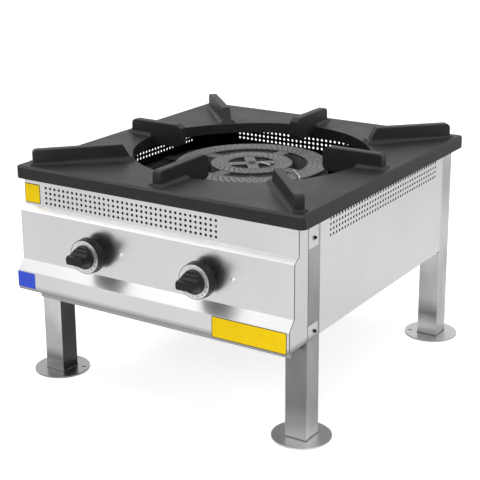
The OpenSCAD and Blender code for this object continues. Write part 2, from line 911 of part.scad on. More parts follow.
module tap(side) {
    color("goldenrod") on_tap(side) difference() {
        union() {
            translate([0, 0, -tap_base]) cylinder(d = tap_d, h = tap_base - neck_start);
            translate([0, 0, -neck_start]) cylinder(d = collar_d + 2 * neck_wall, h = neck_start - neck_end);
            translate([0, 0, outlet_back - tap_base]) rotate([-90, 0, 0])
                cylinder(d = outlet_d, h = outlet_h);
        }
        translate([0, 0, -neck_start]) cylinder(d = collar_d, h = neck_start);
        translate([0, 0, -tap_bore_back]) cylinder(d = spindle_d + side_gap, h = tap_bore_back);
    }
}

module tap_collar(side) {
    color("silver") on_tap(side) translate([0, 0, -collar_front - collar_l]) difference() {
        cylinder(d = collar_d - 2 * run_gap, h = collar_l);
        translate([0, 0, -over]) cylinder(d = spindle_d + 2 * run_gap, h = collar_l + 2 * over);
    }
}

module spindle(side) {
    color("silver") on_tap(side) {
        translate([0, 0, -spindle_back])
            cylinder(d = spindle_d, h = spindle_back + knob_gap + skirt_h + spindle_grip);
        translate([0, 0, run_gap - collar_front]) cylinder(d = shoulder_d, h = shoulder_l);
    }
}

// Knobs

module knob(side) {
    hub_r = hub_d / 2;
    color("#1c1c1d") on_tap(side) translate([0, 0, knob_gap]) difference() {
        union() {
            difference() {
                cylinder(d1 = skirt_d, d2 = skirt_d - 2 * skirt_taper, h = skirt_h);
                translate([0, 0, -over])
                    cylinder(d = skirt_d - 2 * skirt_wall - 2 * skirt_taper, h = skirt_recess + over);
                translate([0, 0, skirt_h - dial_t]) cylinder(d = dial_d, h = dial_t + over);
            }
            cylinder(d = knob_boss_d, h = skirt_h);
            translate([0, 0, skirt_recess]) cylinder(d = hub_d, h = skirt_h - skirt_recess + hub_straight);
            intersection() {
                translate([0, 0, skirt_h]) cylinder(d1 = hub_d, d2 = hub_top_d, h = grip_h);
                difference() {
                    along_x(-hub_r, hub_r) polygon([
                        [-hub_r, skirt_h], [hub_r, skirt_h], [hub_r, skirt_h + hub_straight],
                        [grip_t / 2, skirt_h + hub_shoulder], [grip_t / 2, skirt_h + grip_h],
                        [-grip_t / 2, skirt_h + grip_h], [-grip_t / 2, skirt_h + hub_shoulder],
                        [-hub_r, skirt_h + hub_straight]
                    ]);
                    for (s = [-1, 1], share = groove_shares)
                        translate([-hub_r, s * (hub_r + share * (grip_t / 2 - hub_r)),
                            skirt_h + hub_straight + share * (hub_shoulder - hub_straight)])
                            rotate([0, 90, 0]) cylinder(r = groove_r, h = hub_d, $fn = 24);
                }
            }
        }
        translate([0, 0, -over]) cylinder(d = spindle_d, h = skirt_h + spindle_grip + over);
    }
}

module dial(side) {
    color("lightgray") on_tap(side) translate([0, 0, knob_gap + skirt_h - dial_t]) difference() {
        cylinder(d = dial_d, h = dial_t);
        translate([0, 0, -over]) cylinder(d = hub_d, h = dial_t + 2 * over);
    }
}

module index_stud(side) {
    stud_x = side * tap_spacing / 2 + stud_out_x;
    color("white") placed() translate([stud_x, knob_face, knob_mid]) rotate([90, 0, 0]) {
        translate([0, 0, -sheet]) cylinder(d = stud_shank_d, h = sheet, $fn = 24);
        intersection() {
            cylinder(d = stud_d, h = stud_rise);
            translate([0, 0, stud_rise - stud_d]) sphere(d = 2 * stud_d);
        }
    }
}

// Thermocouples

// A shank that stands at radius r and turn a, and an arm of length l that leaves it in direction b
module thermocouple(r, a, b, l) {
    foot_z = ring_top - probe_lug_drop - probe_lug_t - probe_tail;
    rise = burner_top + probe_clear - foot_z;
    color("silver") placed() translate(concat(polar(r, a), foot_z)) rotate(b) {
        cylinder(d = probe_d, h = rise - probe_bend_r, $fn = 24);
        bend([0, 0, rise], [0, 0, 1], [1, 0, 0], probe_d, probe_bend_r);
        translate([probe_bend_r, 0, rise]) rotate([0, 90, 0])
            cylinder(d = probe_d, h = l - probe_bend_r, $fn = 24);
    }
}

module thermocouple_outer() {
    thermocouple(outer_probe_r, outer_probe_turn, outer_probe_turn + 180 - outer_probe_swing, outer_probe_l);
}

module thermocouple_inner() {
    thermocouple(inner_probe_r, inner_probe_turn, inner_probe_turn + inner_probe_swing, inner_probe_l);
}

// Drip tray

module tray_runner(side) {
    ledge_top = tray_rim_z - side_gap;
    low = ledge_top - runner_t;
    back = half_d - fold - panel_gap;
    color("gainsboro") placed() on_side(side) {
        span([in_x - runner_t, -half_d, low], [in_x, back, low + runner_h]);
        span([in_x - runner_ledge, -half_d, low], [in_x, back, ledge_top]);
    }
}

module drip_tray() {
    lip_y = -half_d - lip_out;
    lip_top = tray_low + lip_h;
    rim_x = tray_half + tray_rim;
    rim_z = tray_rim_z + sheet;
    color("gainsboro") placed() difference() {
        union() {
            span([-tray_half, lip_y, tray_low], [tray_half, tray_back, rim_z]);
            span([-rim_x, lip_y, tray_rim_z], [rim_x, tray_back, rim_z]);
            span([-lip_w / 2, lip_y, tray_low], [lip_w / 2, lip_y + sheet, lip_top]);
            span([-lip_w / 2, lip_y - lip_roll, lip_top - sheet], [lip_w / 2, lip_y, lip_top]);
        }
        span([sheet - tray_half, lip_y + sheet, tray_low + sheet],
            [tray_half - sheet, tray_back - sheet, rim_z + over]);
    }
}

leg(-1, -1);  // leg_front_left
leg(1, -1);  // leg_front_right
leg(-1, 1);  // leg_back_left
leg(1, 1);  // leg_back_right
foot(-1, -1);  // foot_front_left
foot(1, -1);  // foot_front_right
foot(-1, 1);  // foot_back_left
foot(1, 1);  // foot_back_right
front_panel();
side_panel(-1);  // side_panel_left
side_panel(1);  // side_panel_right
back_panel();
rail(-1);  // rail_left
rail(1);  // rail_right
burner_bar(-1);  // burner_bar_front
burner_bar(1);  // burner_bar_back
pan_support();
burner_casting();
outer_port_cap();
inner_port_cap();
air_shutter(-1);  // air_shutter_left
air_shutter(1);  // air_shutter_right
injector(-1);  // injector_left
injector(1);  // injector_right
feed_pipe(-1);  // feed_pipe_left
feed_pipe(1);  // feed_pipe_right
manifold();
manifold_bracket(-1);  // manifold_bracket_left
manifold_bracket(1);  // manifold_bracket_right
supply_pipe();
gas_inlet();
tap(-1);  // tap_left
tap(1);  // tap_right
tap_collar(-1);  // tap_collar_left
tap_collar(1);  // tap_collar_right
spindle(-1);  // spindle_left
spindle(1);  // spindle_right
knob(-1);  // knob_left
knob(1);  // knob_right
dial(-1);  // dial_left
dial(1);  // dial_right
index_stud(-1);  // index_stud_left
index_stud(1);  // index_stud_right
thermocouple_outer();
thermocouple_inner();
tray_runner(-1);  // tray_runner_left
tray_runner(1);  // tray_runner_right
drip_tray();
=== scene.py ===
"""Dresses the stock pot range: finishes for its steel, castings, brass and plastic, and the small pieces
that go on them, such as screws, welds, blank plates, dial marks and the thread of the gas inlet."""

import math

import bmesh
import bpy
from bpy.props import FloatProperty, FloatVectorProperty, IntProperty, PointerProperty
from mathutils import Matrix, Vector


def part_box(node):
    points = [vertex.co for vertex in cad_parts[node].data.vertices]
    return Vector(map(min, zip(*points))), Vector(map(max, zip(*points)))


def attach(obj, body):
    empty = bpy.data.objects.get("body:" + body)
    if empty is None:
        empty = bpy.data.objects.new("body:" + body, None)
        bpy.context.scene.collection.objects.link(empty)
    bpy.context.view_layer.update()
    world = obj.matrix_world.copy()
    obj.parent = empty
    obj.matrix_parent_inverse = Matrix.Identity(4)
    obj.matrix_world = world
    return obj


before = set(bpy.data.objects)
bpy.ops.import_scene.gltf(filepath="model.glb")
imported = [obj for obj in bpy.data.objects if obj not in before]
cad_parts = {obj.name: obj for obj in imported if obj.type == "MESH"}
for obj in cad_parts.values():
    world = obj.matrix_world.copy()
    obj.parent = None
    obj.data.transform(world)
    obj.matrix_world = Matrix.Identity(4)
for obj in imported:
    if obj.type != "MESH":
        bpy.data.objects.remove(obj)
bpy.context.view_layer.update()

bl_info = {
    "name": "Stock pot range dressing",
    "version": (1, 0, 0),
    "blender": (4, 5, 0),
    "location": "View3D > Sidebar > Range",
    "description": "Finishes and small pieces for a low gas range for stock pots",
    "category": "Object",
}

SIDES = ("left", "right")
CORNERS = ("front_left", "front_right", "back_left", "back_right")
LEFTWARDS = (-1, 0, 0)
RIGHTWARDS = (1, 0, 0)
FORWARDS = (0, -1, 0)
BACKWARDS = (0, 1, 0)
UPWARDS = (0, 0, 1)

# The photograph's camera: place in metres, turn and pitch in degrees, lens in pixels of its 480 pixel frame
FRAME_PX = 480
PHOTO_FOCAL_PX = 1221.0
PHOTO_CENTRE_PX = (239.5, 191.9)
CAMERA_PLACE = (1.1737, -1.8255, 0.9624)
CAMERA_TURN = 32.83
CAMERA_PITCH = 16.29
CAMERA_ROLL = -0.41
SENSOR_MM = 36.0

# Profile of the solid front panel: how far its knob panel and its perforated strip stand behind the face of
# its lower strip, and the heights of its strips and of the slopes between them
KNOB_PANEL_BACK = 0.015
TOP_STRIP_BACK = 0.0285
TOP_STRIP_H = 0.05
UPPER_SLOPE_H = 0.008
LOWER_STRIP_H = 0.036
LOWER_SLOPE_H = 0.017

# Other measures of the solid parts: a tray lip with its fold, and radii
TRAY_LIP_T = 0.0055
FEED_PIPE_R = 0.004
SHEATH_R = 0.00175
INLET_R = 0.01045

# How far the small pieces stand from the edges of the solid parts that carry them
TOP_SCREW_DROP = 0.031
LOW_SCREW_RISE = 0.0115
LOW_SCREW_BACK = 0.002
SEAM_END_GAP = 0.001
MARK_INSET = 0.004
THREAD_START_GAP = 0.002
THREAD_END_GAP = 0.001

# How fine the meshes of the small pieces are
ROUND_STEPS = 24
THREAD_STEPS = 32
MERGE_DISTANCE = 1e-6
SMOOTH_ANGLE = math.radians(35)

# The stage: half width of the floor, its glow for the camera and in metal and glass, and the world's light
FLOOR_HALF = 12.0
FLOOR_GLOW = 0.62
FLOOR_GLOW_MIRRORED = 0.12
WORLD_LIGHT = 0.46


# Places read from the frame


def low(node):
    """Lowest corner of a node's box."""
    return Vector(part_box(node)[0])


def high(node):
    """Highest corner of a node's box."""
    return Vector(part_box(node)[1])


def middle(node):
    """Middle of a node's box."""
    return (low(node) + high(node)) / 2


def both(*names):
    """The left and the right node of each name."""
    return tuple(name + "_" + side for name in names for side in SIDES)


# Sizes and colours that a user may change

COLOR = {"subtype": "COLOR", "size": 3, "min": 0, "max": 1}


class RangeFinish(bpy.types.PropertyGroup):
    """Colours of the finishes."""

    sheet_color: FloatVectorProperty(
        name="Sheet", description="Colour of the brushed sheet", default=(0.7, 0.7, 0.705), **COLOR)
    leg_color: FloatVectorProperty(
        name="Legs", description="Colour of the leg tubes and foot discs", default=(0.43, 0.43, 0.435),
        **COLOR)
    zinc_color: FloatVectorProperty(
        name="Zinc", description="Colour of the plated steel inside the body", default=(0.2, 0.2, 0.205),
        **COLOR)
    grate_color: FloatVectorProperty(
        name="Pan support", description="Colour of the matt black casting", default=(0.009, 0.009, 0.0093),
        **COLOR)
    burner_color: FloatVectorProperty(
        name="Burner", description="Colour of the bare grey castings", default=(0.082, 0.082, 0.082), **COLOR)
    brass_color: FloatVectorProperty(
        name="Brass", description="Colour of the taps, nuts, injectors and gas inlet",
        default=(0.62, 0.46, 0.2), **COLOR)
    knob_color: FloatVectorProperty(
        name="Knobs", description="Colour of the knobs' plastic", default=(0.0055, 0.0055, 0.006), **COLOR)
    dial_color: FloatVectorProperty(
        name="Dials", description="Colour of the dial rings", default=(0.72, 0.72, 0.72), **COLOR)
    yellow_color: FloatVectorProperty(
        name="Yellow plates", description="Colour of the blank yellow plates", default=(1.0, 0.67, 0.002),
        **COLOR)
    blue_color: FloatVectorProperty(
        name="Blue plate", description="Colour of the blank blue plate", default=(0.05, 0.1, 0.7), **COLOR)
    # Painted shade: the dark colour of the steel inside the body and the drip tray
    inside_shade_color: FloatVectorProperty(
        name="Shade", description="Colour of the steel inside the body", default=(0.02, 0.02, 0.02),
        **COLOR)


class RangeDetail(bpy.types.PropertyGroup):
    """Sizes of the small pieces."""

    screw_d: FloatProperty(
        name="Screw head", description="Diameter of a lug screw's head", default=0.0064, min=0.004,
        unit="LENGTH")
    screw_h: FloatProperty(
        name="Screw height", description="Height of a lug screw's head", default=0.0035, min=0.001,
        unit="LENGTH")
    weld_d: FloatProperty(
        name="Weld bead", description="Width of the weld round a leg's foot", default=0.003, min=0.001,
        unit="LENGTH")
    plate_t: FloatProperty(
        name="Plate thickness", description="Thickness of the blank plates", default=0.0004, min=0.0001,
        unit="LENGTH")
    # The end seams are fine dark lines of painted shade in the joints
    seam_w: FloatProperty(
        name="End seams", description="Width of the joints at the front panel's ends", default=0.0014,
        min=0.0002, unit="LENGTH")
    thread_pitch: FloatProperty(
        name="Thread pitch", description="Pitch of the gas inlet's thread", default=0.0018, min=0.0005,
        unit="LENGTH")
    thread_depth: FloatProperty(
        name="Thread depth", description="Depth of the gas inlet's thread", default=0.0007, min=0.0002,
        unit="LENGTH")
    bolt_d: FloatProperty(
        name="Bolt", description="Width of the hub bolt's head over its corners", default=0.012, min=0.004,
        unit="LENGTH")
    nut_d: FloatProperty(
        name="Union nut", description="Width of a feed pipe's nut over its corners", default=0.0175, min=0.01,
        unit="LENGTH")
    capillary_d: FloatProperty(
        name="Capillary", description="Diameter of a thermocouple's tube", default=0.0024, min=0.001,
        unit="LENGTH")
    mark_count: IntProperty(
        name="Dial marks", description="Number of marks on a dial ring", default=5, min=1, max=24)


# Shader nodes

# Nearly all of a noise lies between these values
NOISE_REACH = (0.3, 0.7)

# A Mix node's two inputs and its result, for numbers and for colours
MIX_NUMBERS = (2, 3, 0)
MIX_COLORS = (6, 7, 2)


class Nodes:
    """A tree of shader nodes, with short calls for what the patterns and the light need."""

    def __init__(self, tree):
        self.tree = tree
        tree.nodes.clear()

    def node(self, kind, **settings):
        """A new node with its settings."""
        made = self.tree.nodes.new(kind)
        for name, value in settings.items():
            setattr(made, name, value)
        return made

    def feed(self, value, target):
        """Link a socket to an input, or write a plain value or colour there."""
        if isinstance(value, bpy.types.NodeSocket):
            self.tree.links.new(value, target)
        elif target.type == "RGBA":
            target.default_value = (*value, 1.0)
        else:
            target.default_value = value

    def compute(self, operation, *values):
        """The result of a Math node on one or two numbers or sockets."""
        made = self.node("ShaderNodeMath", operation=operation)
        for value, target in zip(values, made.inputs):
            self.feed(value, target)
        return made.outputs[0]

    def spread(self, source, low_in, high_in, low_out=0.0, high_out=1.0):
        """A number brought from one reach to another, and held within it."""
        made = self.node("ShaderNodeMapRange")
        self.feed(source, made.inputs["Value"])
        ends = {"From Min": low_in, "From Max": high_in, "To Min": low_out, "To Max": high_out}
        for name, value in ends.items():
            self.feed(value, made.inputs[name])
        return made.outputs["Result"]

    def mixed(self, factor, first, second, kind="RGBA", sockets=MIX_COLORS):
        """First where the factor is 0, second where it is 1."""
        made = self.node("ShaderNodeMix", data_type=kind)
        first_input, second_input, result = sockets
        self.feed(factor, made.inputs[0])
        self.feed(first, made.inputs[first_input])
        self.feed(second, made.inputs[second_input])
        return made.outputs[result]


class Surface(Nodes):
    """A material on Object coordinates."""

    def __init__(self, name):
        self.material = bpy.data.materials.new(name)
        self.material.use_nodes = True
        super().__init__(self.material.node_tree)
        self.shader = self.node("ShaderNodeBsdfPrincipled")
        self.output = self.node("ShaderNodeOutputMaterial")
        self.feed(self.shader.outputs["BSDF"], self.output.inputs["Surface"])
        self.place = self.node("ShaderNodeTexCoord").outputs["Object"]
        split = self.node("ShaderNodeSeparateXYZ")
        self.feed(self.place, split.inputs["Vector"])
        self.axis = split.outputs

    def set(self, **values):
        """Write plain values into the shader."""
        for name, value in values.items():
            self.feed(value, self.shader.inputs[name.replace("_", " ")])

    def color(self, source):
        """Give the surface its colour."""
        self.tone = source
        self.feed(source, self.shader.inputs["Base Color"])

    def roughness(self, source):
        """Give the surface its roughness."""
        self.dullness = source
        self.feed(source, self.shader.inputs["Roughness"])

    def noise(self, size=1.0, detail=3.0, roughness=0.5, scale=(1, 1, 1)):
        """A cloudy pattern, finer with a larger size or scale."""
        mapping = self.node("ShaderNodeMapping")
        mapping.inputs["Scale"].default_value = scale
        self.feed(self.place, mapping.inputs["Vector"])
        made = self.node("ShaderNodeTexNoise")
        self.feed(mapping.outputs["Vector"], made.inputs["Vector"])
        for name, value in {"Scale": size, "Detail": detail, "Roughness": roughness}.items():
            self.feed(value, made.inputs[name])
        return made.outputs["Fac"]

    def varied(self, noise, low_out=0.0, high_out=1.0):
        """A number that varies between two values as a noise does."""
        return self.spread(noise, *NOISE_REACH, low_out, high_out)

    def within(self, corner_low, corner_high):
        """1 inside a box, 0 outside it."""
        inside = 1.0
        for axis, a, b in zip("XYZ", corner_low, corner_high):
            offset = self.compute("ABSOLUTE", self.compute("SUBTRACT", self.axis[axis], (a + b) / 2))
            near = self.compute("LESS_THAN", offset, (b - a) / 2)
            inside = self.compute("MULTIPLY", inside, near)
        return inside

    def rising(self, start, end):
        """0 up to the height start, 1 from the height end upwards."""
        return self.spread(self.axis["Z"], start, end)

    def round_edges(self, radius):
        """Normals that look as if the edges were rounded."""
        made = self.node("ShaderNodeBevel", samples=6)
        made.inputs["Radius"].default_value = radius
        return made.outputs["Normal"]

    def lit_and_worn_edges(self, rounded):
        """1 on the edges, where the rounded normal leaves the flat one, for paler edges of painted highlight
        and wear.
        """
        flat = self.node("ShaderNodeNewGeometry").outputs["Normal"]
        made = self.node("ShaderNodeVectorMath", operation="DOT_PRODUCT")
        self.feed(flat, made.inputs[0])
        self.feed(rounded, made.inputs[1])
        return self.spread(made.outputs["Value"], 0.995, 0.85)

    def times(self, source, factor):
        """A colour times a number or a socket."""
        made = self.node("ShaderNodeVectorMath", operation="SCALE")
        self.feed(source, made.inputs[0])
        self.feed(factor, made.inputs["Scale"])
        return made.outputs[0]

    def shade(self, source, color, dark, light):
        """Colour that varies from dark to light times the given colour as source goes from 0 to 1."""
        return self.mixed(source, scaled(color, dark), scaled(color, light))

    def bump(self, source, depth, strength, after=None):
        """Relief of the surface, over an earlier relief where one is given."""
        made = self.node("ShaderNodeBump")
        made.inputs["Strength"].default_value = strength
        made.inputs["Distance"].default_value = depth
        self.feed(source, made.inputs["Height"])
        if after is not None:
            self.feed(after, made.inputs["Normal"])
        self.feed(made.outputs["Normal"], self.shader.inputs["Normal"])
        return made.outputs["Normal"]


def scaled(color, factor):
    """A colour made darker or lighter, up to white."""
    return tuple(min(c * factor, 1.0) for c in color)


def along(axis, fine, coarse):
    """Scale of a grain that runs along an axis: coarse along it and fine across it."""
    return tuple(coarse if name == axis else fine for name in "XYZ")


# Rooms and bands of the solid parts that get painted shade, painted reflection and a duller roughness, each
# as two corners


def body_room():
    """The room inside the body's steel sheets, from just above the drip tray up to the pan support, where
    shade is painted.
    """
    skin = 0.0006
    tray_gap = 0.001
    rise_in_support = 0.02
    right, back = high("side_panel_right").x, high("back_panel").y
    start = low("drip_tray").y + TRAY_LIP_T
    bottom = high("drip_tray").z + tray_gap
    top = low("pan_support").z + rise_in_support
    return (-right + skin, start, bottom), (right - skin, back - skin, top)


def tray_room():
    """The inside of the drip tray, where shade is painted."""
    skin = 0.0004
    a, b = low("drip_tray"), high("drip_tray")
    return (a.x + skin, a.y + TRAY_LIP_T, a.z + skin), (b.x - skin, b.y - skin, b.z + skin)


def slopes():
    """The upper and the lower slope of the front panel, with a little of the flat parts next to them."""
    reach = 0.0005
    depth = 0.04
    a, b = low("front_panel"), high("front_panel")
    back = a.y + depth
    upper_top = b.z - TOP_STRIP_H
    lower_bottom = a.z + LOWER_STRIP_H
    return (
        ((a.x, a.y, upper_top - UPPER_SLOPE_H - reach), (b.x, back, upper_top + reach)),
        ((a.x, a.y, lower_bottom - reach), (b.x, back, lower_bottom + LOWER_SLOPE_H + reach)),
    )


def leg_faces(leg):
    """The front and the right face of a leg, where reflection and shade are painted."""
    skin = 0.0006
    a, b = low(leg), high(leg)
    return (
        ((a.x - skin, a.y - skin, a.z), (b.x + skin, a.y + skin, b.z)),
        ((b.x - skin, a.y + skin, a.z), (b.x + skin, b.y + skin, b.z)),
    )


# Finishes

SHEET_ROUGH = 0.27
SLOPE_ROUGH = (0.42, 0.34)
# Roughness of the steel where shade is painted inside the body
INSIDE_SHADE_ROUGH = 0.5
# Height of the painted dark reflection along the front panel's lower edge
LOWER_EDGE_REFLECTION_H = 0.011

# Colours of the smallest pieces
CHROME_COLOR = (0.97, 0.97, 0.97)
SHEATH_COLOR = (0.42, 0.42, 0.42)
SCREW_COLOR = (0.02, 0.02, 0.021)
# The joints' dark colour is painted shade
SEAM_SHADE_COLOR = (0.06, 0.06, 0.062)
COPPER_COLOR = (0.3, 0.15, 0.085)
MARK_COLOR = (0.03, 0.03, 0.032)

# Each corner's painted reflection and shade: the tone of the leg's front face and of its right face, each
# with its change in a band near the foot, the band's height and reach, and the tone of the foot disc
CORNER_PAINTED_LIGHT = {
    "front_left": {"front": (1.35, 0.42), "side": (0.28, 1.0), "band": (0.024, 0.02), "disc": 0.85},
    "front_right": {"front": (0.5, 2.2), "side": (0.85, 1.6), "band": (0.0, 0.06), "disc": 1.9},
    "back_left": {"front": (1.0, 0.8), "side": (0.9, 1.0), "band": (0.042, 0.035), "disc": 1.0},
    "back_right": {"front": (2.1, 0.36), "side": (1.3, 1.0), "band": (0.045, 0.032), "disc": 1.25},
}


def brushed(name, color, axis, rough, inside_shade, room):
    """Brushed steel whose grain runs along one axis, with painted shade inside a room."""
    look = Surface(name)
    look.set(Metallic=1.0, IOR=1.5)
    grain = look.noise(detail=4.0, roughness=0.65, scale=along(axis, 1500, 12))
    streak = look.noise(roughness=0.6, scale=along(axis, 260, 2.2))
    cloud = look.noise(size=7.0, detail=2.0)
    strokes = look.mixed(0.4, grain, streak, "FLOAT", MIX_NUMBERS)
    fine = look.shade(look.varied(strokes), color, 0.965, 1.03)
    soft = look.mixed(look.spread(cloud, 0.35, 0.7, 0.0, 0.5), fine, scaled(color, 0.93))
    # Painted shade: dark and duller inside the room
    inside = look.within(*room)
    look.color(look.mixed(inside, soft, inside_shade))
    inside_shade_rough = look.compute("MULTIPLY", inside, INSIDE_SHADE_ROUGH)
    look.roughness(look.compute("MAXIMUM", look.varied(cloud, rough * 0.9, rough * 1.15), inside_shade_rough))
    look.bump(grain, depth=0.000012, strength=0.5)
    return look


def front_sheet(name, color, rough, inside_shade, room):
    """Brushed sheet, duller on the slopes, with a painted dark reflection along its lower edge."""
    look = brushed(name, color, "X", rough, inside_shade, room)
    bottom = low("front_panel").z
    # Painted dark reflection, fading upwards from the lower edge
    look.color(look.mixed(look.rising(bottom, bottom + LOWER_EDGE_REFLECTION_H), scaled(color, 0.35), look.tone))
    for slope, dull in zip(slopes(), SLOPE_ROUGH):
        on_slope = look.compute("MULTIPLY", look.within(*slope), dull)
        look.roughness(look.compute("MAXIMUM", look.dullness, on_slope))


def leg_steel(corner, color, rough, inside_shade, room):
    """Brushed tube steel in soft bands, with painted reflection and shade on the front and right faces and
    near the foot.
    """
    painted_light = CORNER_PAINTED_LIGHT[corner]
    leg = "leg_" + corner
    look = brushed("tube_" + corner, color, "Z", rough, inside_shade, room)
    band = look.noise(detail=2.0, roughness=0.45, scale=(14.0, 14.0, 7.0))
    grain = look.noise(detail=4.0, roughness=0.6, scale=along("Z", 1100, 9))
    base = look.shade(look.spread(band, 0.38, 0.62), color, 0.78, 1.1)
    tone = look.mixed(look.varied(grain, 0.0, 0.25), base, scaled(color, 0.75))
    band_z, band_reach = painted_light["band"]
    from_band = look.compute("ABSOLUTE", look.compute("SUBTRACT", look.axis["Z"], low(leg).z + band_z))
    # Painted reflection and shade on the leg's front and right faces, changing in a band near the foot
    for face, (plain, change) in zip(leg_faces(leg), (painted_light["front"], painted_light["side"])):
        painted_face = look.times(tone, look.spread(from_band, 0.0, band_reach, plain * change, plain))
        tone = look.mixed(look.within(*face), tone, painted_face)
    # Painted shade inside the body
    look.color(look.mixed(look.within(*room), tone, inside_shade))


def cast(name, color, rough, grain, depth, dark, light, shine, edge, edge_sheen_and_wear, lip=None):
    """A sand casting: a fine pebbled skin, cloudy tone and paler edges of painted highlight and wear, with a
    port cap's painted highlight under the lip and a darker tone below it where a lip is given."""
    look = Surface(name)
    look.set(IOR=1.5, Specular_IOR_Level=shine)
    pebble = look.noise(size=grain, roughness=0.6)
    lumps = look.noise(size=grain * 0.12, detail=2.0)
    cloud = look.noise(size=14.0, roughness=0.6)
    clouded = look.shade(look.varied(cloud), color, dark, light)
    worn = look.mixed(look.spread(pebble, 0.52, 0.75), clouded, scaled(color, 1.8))
    rounded = look.round_edges(edge)
    # Paler edges: painted highlight and wear
    tone = look.mixed(look.lit_and_worn_edges(rounded), worn, look.times(worn, edge_sheen_and_wear))
    look.color(tone if lip is None else port_cap_tone(look, tone, color, lip))
    look.roughness(look.varied(cloud, rough * 0.9, min(rough * 1.12, 1.0)))
    lumpy = look.bump(lumps, depth * 2.0, strength=0.4, after=rounded)
    look.bump(pebble, depth, strength=0.6, after=lumpy)


def port_cap_tone(look, tone, color, lip):
    """Speckled, with a pale band of painted highlight under the lip and much darker below that."""
    blur = 0.0003
    band_top = lip - 0.0005
    band_bottom = lip - 0.0016
    speckle = look.noise(size=420.0, detail=2.0)
    speckled = look.times(tone, look.spread(speckle, 0.35, 0.65, 0.55, 1.35))
    # Painted highlight: a pale band just under the lip
    with_lit_band = look.mixed(look.rising(band_top, band_top + blur), look.times(speckled, 1.8), speckled)
    return look.mixed(look.rising(band_bottom, band_bottom + blur), scaled(color, 0.1), with_lit_band)


def plastic(name, color, rough):
    """Moulded plastic with a very fine spark texture."""
    look = Surface(name)
    look.set(IOR=1.5, Specular_IOR_Level=0.25)
    spark = look.noise(size=2600.0, detail=2.0)
    cloud = look.noise(size=60.0, detail=2.0)
    look.color(look.shade(look.varied(cloud), color, 0.85, 1.3))
    look.roughness(look.varied(spark, rough * 0.85, rough * 1.15))
    look.bump(spark, depth=0.00002, strength=0.5, after=look.round_edges(0.0006))


def turned(name, color, rough):
    """Machined metal with fine tool marks and a few dull spots."""
    look = Surface(name)
    look.set(Metallic=1.0, IOR=1.5)
    marks = look.noise(size=1500.0, detail=2.0)
    cloud = look.noise(size=120.0, roughness=0.6)
    look.color(look.shade(look.varied(cloud), color, 0.8, 1.08))
    look.roughness(look.varied(cloud, rough * 0.8, rough * 1.4))
    look.bump(marks, depth=0.00002, strength=0.5)


def printed(name, color):
    """A plain printed plate with a soft satin skin."""
    look = Surface(name)
    look.set(IOR=1.5, Specular_IOR_Level=0.12)
    cloud = look.noise(size=45.0, roughness=0.6)
    look.color(look.shade(look.varied(cloud), color, 0.95, 1.04))
    look.roughness(look.varied(cloud, 0.42, 0.55))


def make_steel(finish):
    """The steel of the body, the legs, the tray and the small parts."""
    sheet = tuple(finish.sheet_color)
    # The dark colour of the painted shade inside the body and the drip tray
    leg = tuple(finish.leg_color)
    inside_shade = tuple(finish.inside_shade_color)
    room = body_room()
    # The front panel's copy of the sheet is painted a little darker, as painted shade
    front_sheet("sheet_front", scaled(sheet, 0.95), SHEET_ROUGH, inside_shade, room)
    brushed("sheet_across", sheet, "X", SHEET_ROUGH, inside_shade, room)
    brushed("sheet_deep", sheet, "Y", SHEET_ROUGH, inside_shade, room)
    brushed("tray", scaled(sheet, 0.5), "X", 0.3, inside_shade, tray_room())
    for corner in CORNERS:
        leg_steel(corner, leg, 0.28, inside_shade, room)
        # Each foot disc is painted its corner's tone of reflection and shade
        brushed("disc_" + corner, scaled(leg, CORNER_PAINTED_LIGHT[corner]["disc"]), "X", 0.3, inside_shade, room)
    turned("zinc", tuple(finish.zinc_color), rough=0.42)
    turned("bright", scaled(sheet, 1.15), rough=0.2)
    turned("stud_chrome", CHROME_COLOR, rough=0.3)
    turned("sheath", SHEATH_COLOR, rough=0.35)
    turned("black_screw", SCREW_COLOR, rough=0.4)
    turned("seam_shade", SEAM_SHADE_COLOR, rough=0.5)


def make_castings(finish):
    """The pan support, and the burner with its port caps."""
    cast("grate", tuple(finish.grate_color), rough=0.46, grain=700.0, depth=0.00012, dark=0.75, light=1.3,
         shine=0.33, edge=0.0016, edge_sheen_and_wear=1.8)
    bare = {"rough": 0.6, "grain": 600.0, "depth": 0.0002, "dark": 0.6, "light": 1.35, "shine": 0.5}
    grey = tuple(finish.burner_color)
    cast("burner", grey, **bare, edge=0.001, edge_sheen_and_wear=2.0)
    cast("caps", grey, **bare, edge=0.0007, edge_sheen_and_wear=1.5, lip=high("outer_port_cap").z)


def make_trim(finish):
    """Brass, copper, the knobs and dials, and the blank plates and marks."""
    turned("turned_brass", tuple(finish.brass_color), rough=0.28)
    turned("copper", COPPER_COLOR, rough=0.3)
    plastic("knob", tuple(finish.knob_color), rough=0.28)
    turned("dial", tuple(finish.dial_color), rough=0.45)
    printed("yellow", tuple(finish.yellow_color))
    printed("blue", tuple(finish.blue_color))
    printed("mark", MARK_COLOR)


NODE_FINISHES = {
    "sheet_front": ("front_panel",),
    "sheet_across": ("back_panel",),
    "sheet_deep": both("side_panel", "tray_runner"),
    "tray": ("drip_tray",),
    **{"tube_" + corner: ("leg_" + corner,) for corner in CORNERS},
    **{"disc_" + corner: ("foot_" + corner,) for corner in CORNERS},
    "zinc": ("burner_bar_front", "burner_bar_back", "manifold", "supply_pipe",
             *both("rail", "manifold_bracket", "air_shutter")),
    "bright": both("feed_pipe", "tap_collar", "spindle"),
    "stud_chrome": both("index_stud"),
    "sheath": ("thermocouple_outer", "thermocouple_inner"),
    "grate": ("pan_support",),
    "burner": ("burner_casting",),
    "caps": ("outer_port_cap", "inner_port_cap"),
    "turned_brass": ("gas_inlet", *both("injector", "tap")),
    "knob": both("knob"),
    "dial": both("dial"),
}


# Mesh tools


def moved(bm, matrix):
    """The same bmesh, moved by a matrix."""
    bm.transform(matrix)
    return bm


